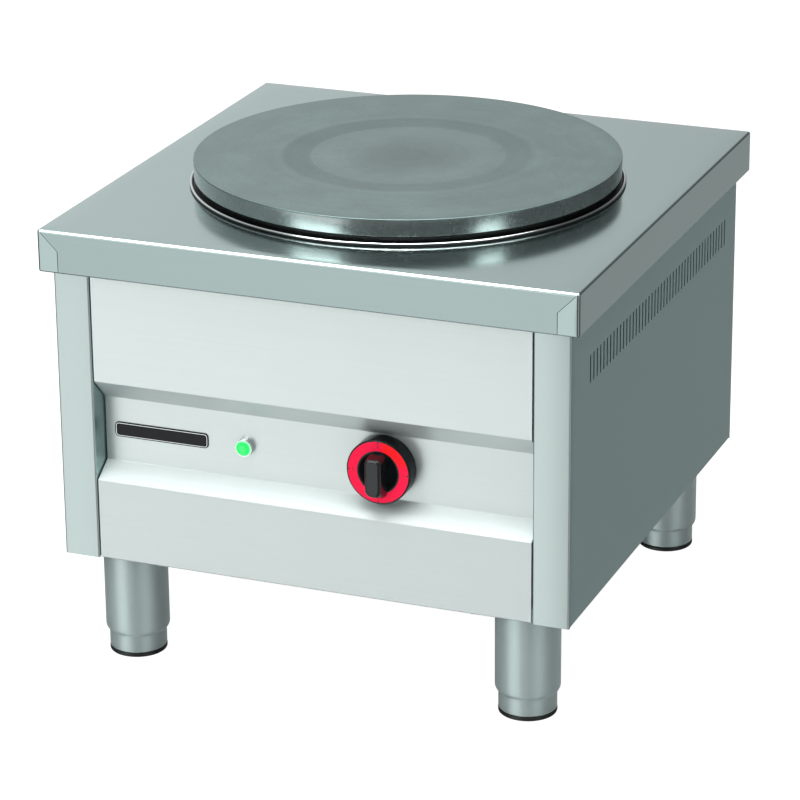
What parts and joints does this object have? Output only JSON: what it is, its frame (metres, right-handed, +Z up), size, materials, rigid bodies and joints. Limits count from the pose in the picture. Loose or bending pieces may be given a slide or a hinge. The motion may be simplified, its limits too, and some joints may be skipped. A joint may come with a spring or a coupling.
{
  "type": "hot plate burner",
  "caption": "Free-standing electric stove with a large round cast-iron hot plate on a stainless cabinet, rotary knob, pilot lamp and screw feet.",
  "frame": {"origin": "on the floor under the middle of the worktop, with the feet screwed home", "axes": "+X to the user's right, +Y from the control side to the back, +Z up"},
  "size_m": [0.515, 0.515, 0.446],
  "materials": {
    "stainless_top": "brushed stainless sheet, worktop",
    "stainless_front": "brushed stainless sheet, front",
    "stainless_side": "brushed stainless sheet, sides and back",
    "leg_steel": "brushed stainless tube",
    "bright_trim": "bright rolled stainless and chrome trim",
    "plate_iron": "turned cast iron, satin",
    "galvanised": "galvanised sheet",
    "plated_steel": "zinc-plated fasteners",
    "coil_metal": "resistance wire bundle",
    "compound": "pressed mineral insulating compound",
    "porcelain": "white porcelain",
    "brass_parts": "turned brass",
    "fibre_pad": "ceramic fibre",
    "switch_plastic": "moulded heat-proof plastic",
    "knob_black": "moulded black, semi-gloss",
    "dial_red": "printed red ring",
    "lens_green": "moulded green lens",
    "badge_black": "plain black badge plate",
    "gland_plastic": "moulded polyamide",
    "wire_cover": "silicone-covered wire",
    "foot_plastic": "moulded black polyamide"
  },
  "bodies": {
    "root": {"worktop": "stainless_top", "left_side_panel": "stainless_side", "right_side_panel": "stainless_side", "front_panel": "stainless_front", "back_panel": "stainless_side", "bottom_pan": "galvanised", "left_stiffener": "galvanised", "right_stiffener": "galvanised", "hot_plate": "plate_iron", "trim_ring": "bright_trim", "embedding_compound": "compound", "outer_coil": "coil_metal", "middle_coil": "coil_metal", "inner_coil": "coil_metal", "plate_base_cover": "galvanised", "centre_stud": "plated_steel", "mounting_bridge": "galvanised", "bridge_washer": "plated_steel", "bridge_nut": "plated_steel", "plate_terminal_block": "porcelain", "plate_terminal_pins": "brass_parts", "heat_shield": "galvanised", "insulation_pad": "fibre_pad", "rotary_switch": "switch_plastic", "switch_terminals": "brass_parts", "switch_screws": "plated_steel", "lamp_lens": "lens_green", "lamp_bezel": "bright_trim", "lamp_body": "switch_plastic", "lamp_nut": "plated_steel", "badge_plate": "badge_black", "supply_terminal_block": "porcelain", "supply_terminal_screws": "brass_parts", "gland_body": "gland_plastic", "gland_dome_nut": "gland_plastic", "gland_locknut": "gland_plastic", "bonding_stud": "brass_parts", "bonding_nuts": "brass_parts", "plate_wires": "wire_cover", "supply_wires": "wire_cover", "lamp_wires": "wire_cover", "panel_screws": "plated_steel", "worktop_nuts": "plated_steel", "leg_bolts": "plated_steel", "leg_nuts": "plated_steel", "leg_tube_front_left": "leg_steel", "leg_tube_front_right": "leg_steel", "leg_tube_back_left": "leg_steel", "leg_tube_back_right": "leg_steel"},
    "knob_unit": {"knob": "knob_black", "dial_ring": "dial_red", "switch_shaft": "plated_steel"},
    "pad_front_left": {"foot_pad_front_left": "foot_plastic"},
    "sleeve_front_left": {"foot_sleeve_front_left": "leg_steel"},
    "pad_front_right": {"foot_pad_front_right": "foot_plastic"},
    "sleeve_front_right": {"foot_sleeve_front_right": "leg_steel"},
    "pad_back_left": {"foot_pad_back_left": "foot_plastic"},
    "sleeve_back_left": {"foot_sleeve_back_left": "leg_steel"},
    "pad_back_right": {"foot_pad_back_right": "foot_plastic"},
    "sleeve_back_right": {"foot_sleeve_back_right": "leg_steel"}
  },
  "joints": [
    {"name": "knob_turn", "type": "hinge", "parent": "root", "child": "knob_unit", "pos_m": [0.065, -0.2257, 0.2263], "axis": [0, -1, 0], "continuous": true},
    {"name": "foot_drop_front_left", "type": "slide", "parent": "root", "child": "pad_front_left", "axis": [0, 0, -1], "range_m": [0, 0.025]},
    {"name": "foot_screw_front_left", "type": "hinge", "parent": "pad_front_left", "child": "sleeve_front_left", "pos_m": [-0.195, -0.2079, 0], "axis": [0, 0, -1], "range_deg": [0, 4499]},
    {"name": "foot_drop_front_right", "type": "slide", "parent": "root", "child": "pad_front_right", "axis": [0, 0, -1], "range_m": [0, 0.025]},
    {"name": "foot_screw_front_right", "type": "hinge", "parent": "pad_front_right", "child": "sleeve_front_right", "pos_m": [0.195, -0.2079, 0], "axis": [0, 0, -1], "range_deg": [0, 4499]},
    {"name": "foot_drop_back_left", "type": "slide", "parent": "root", "child": "pad_back_left", "axis": [0, 0, -1], "range_m": [0, 0.025]},
    {"name": "foot_screw_back_left", "type": "hinge", "parent": "pad_back_left", "child": "sleeve_back_left", "pos_m": [-0.195, 0.2045, 0], "axis": [0, 0, -1], "range_deg": [0, 4499]},
    {"name": "foot_drop_back_right", "type": "slide", "parent": "root", "child": "pad_back_right", "axis": [0, 0, -1], "range_m": [0, 0.025]},
    {"name": "foot_screw_back_right", "type": "hinge", "parent": "pad_back_right", "child": "sleeve_back_right", "pos_m": [0.195, 0.2045, 0], "axis": [0, 0, -1], "range_deg": [0, 4499]}
  ],
  "couplings": [
    {"joint": "foot_drop_front_left", "follows": "foot_screw_front_left", "m_per_rad": 0.00031831},
    {"joint": "foot_drop_front_right", "follows": "foot_screw_front_right", "m_per_rad": 0.00031831},
    {"joint": "foot_drop_back_left", "follows": "foot_screw_back_left", "m_per_rad": 0.00031831},
    {"joint": "foot_drop_back_right", "follows": "foot_screw_back_right", "m_per_rad": 0.00031831}
  ]
}
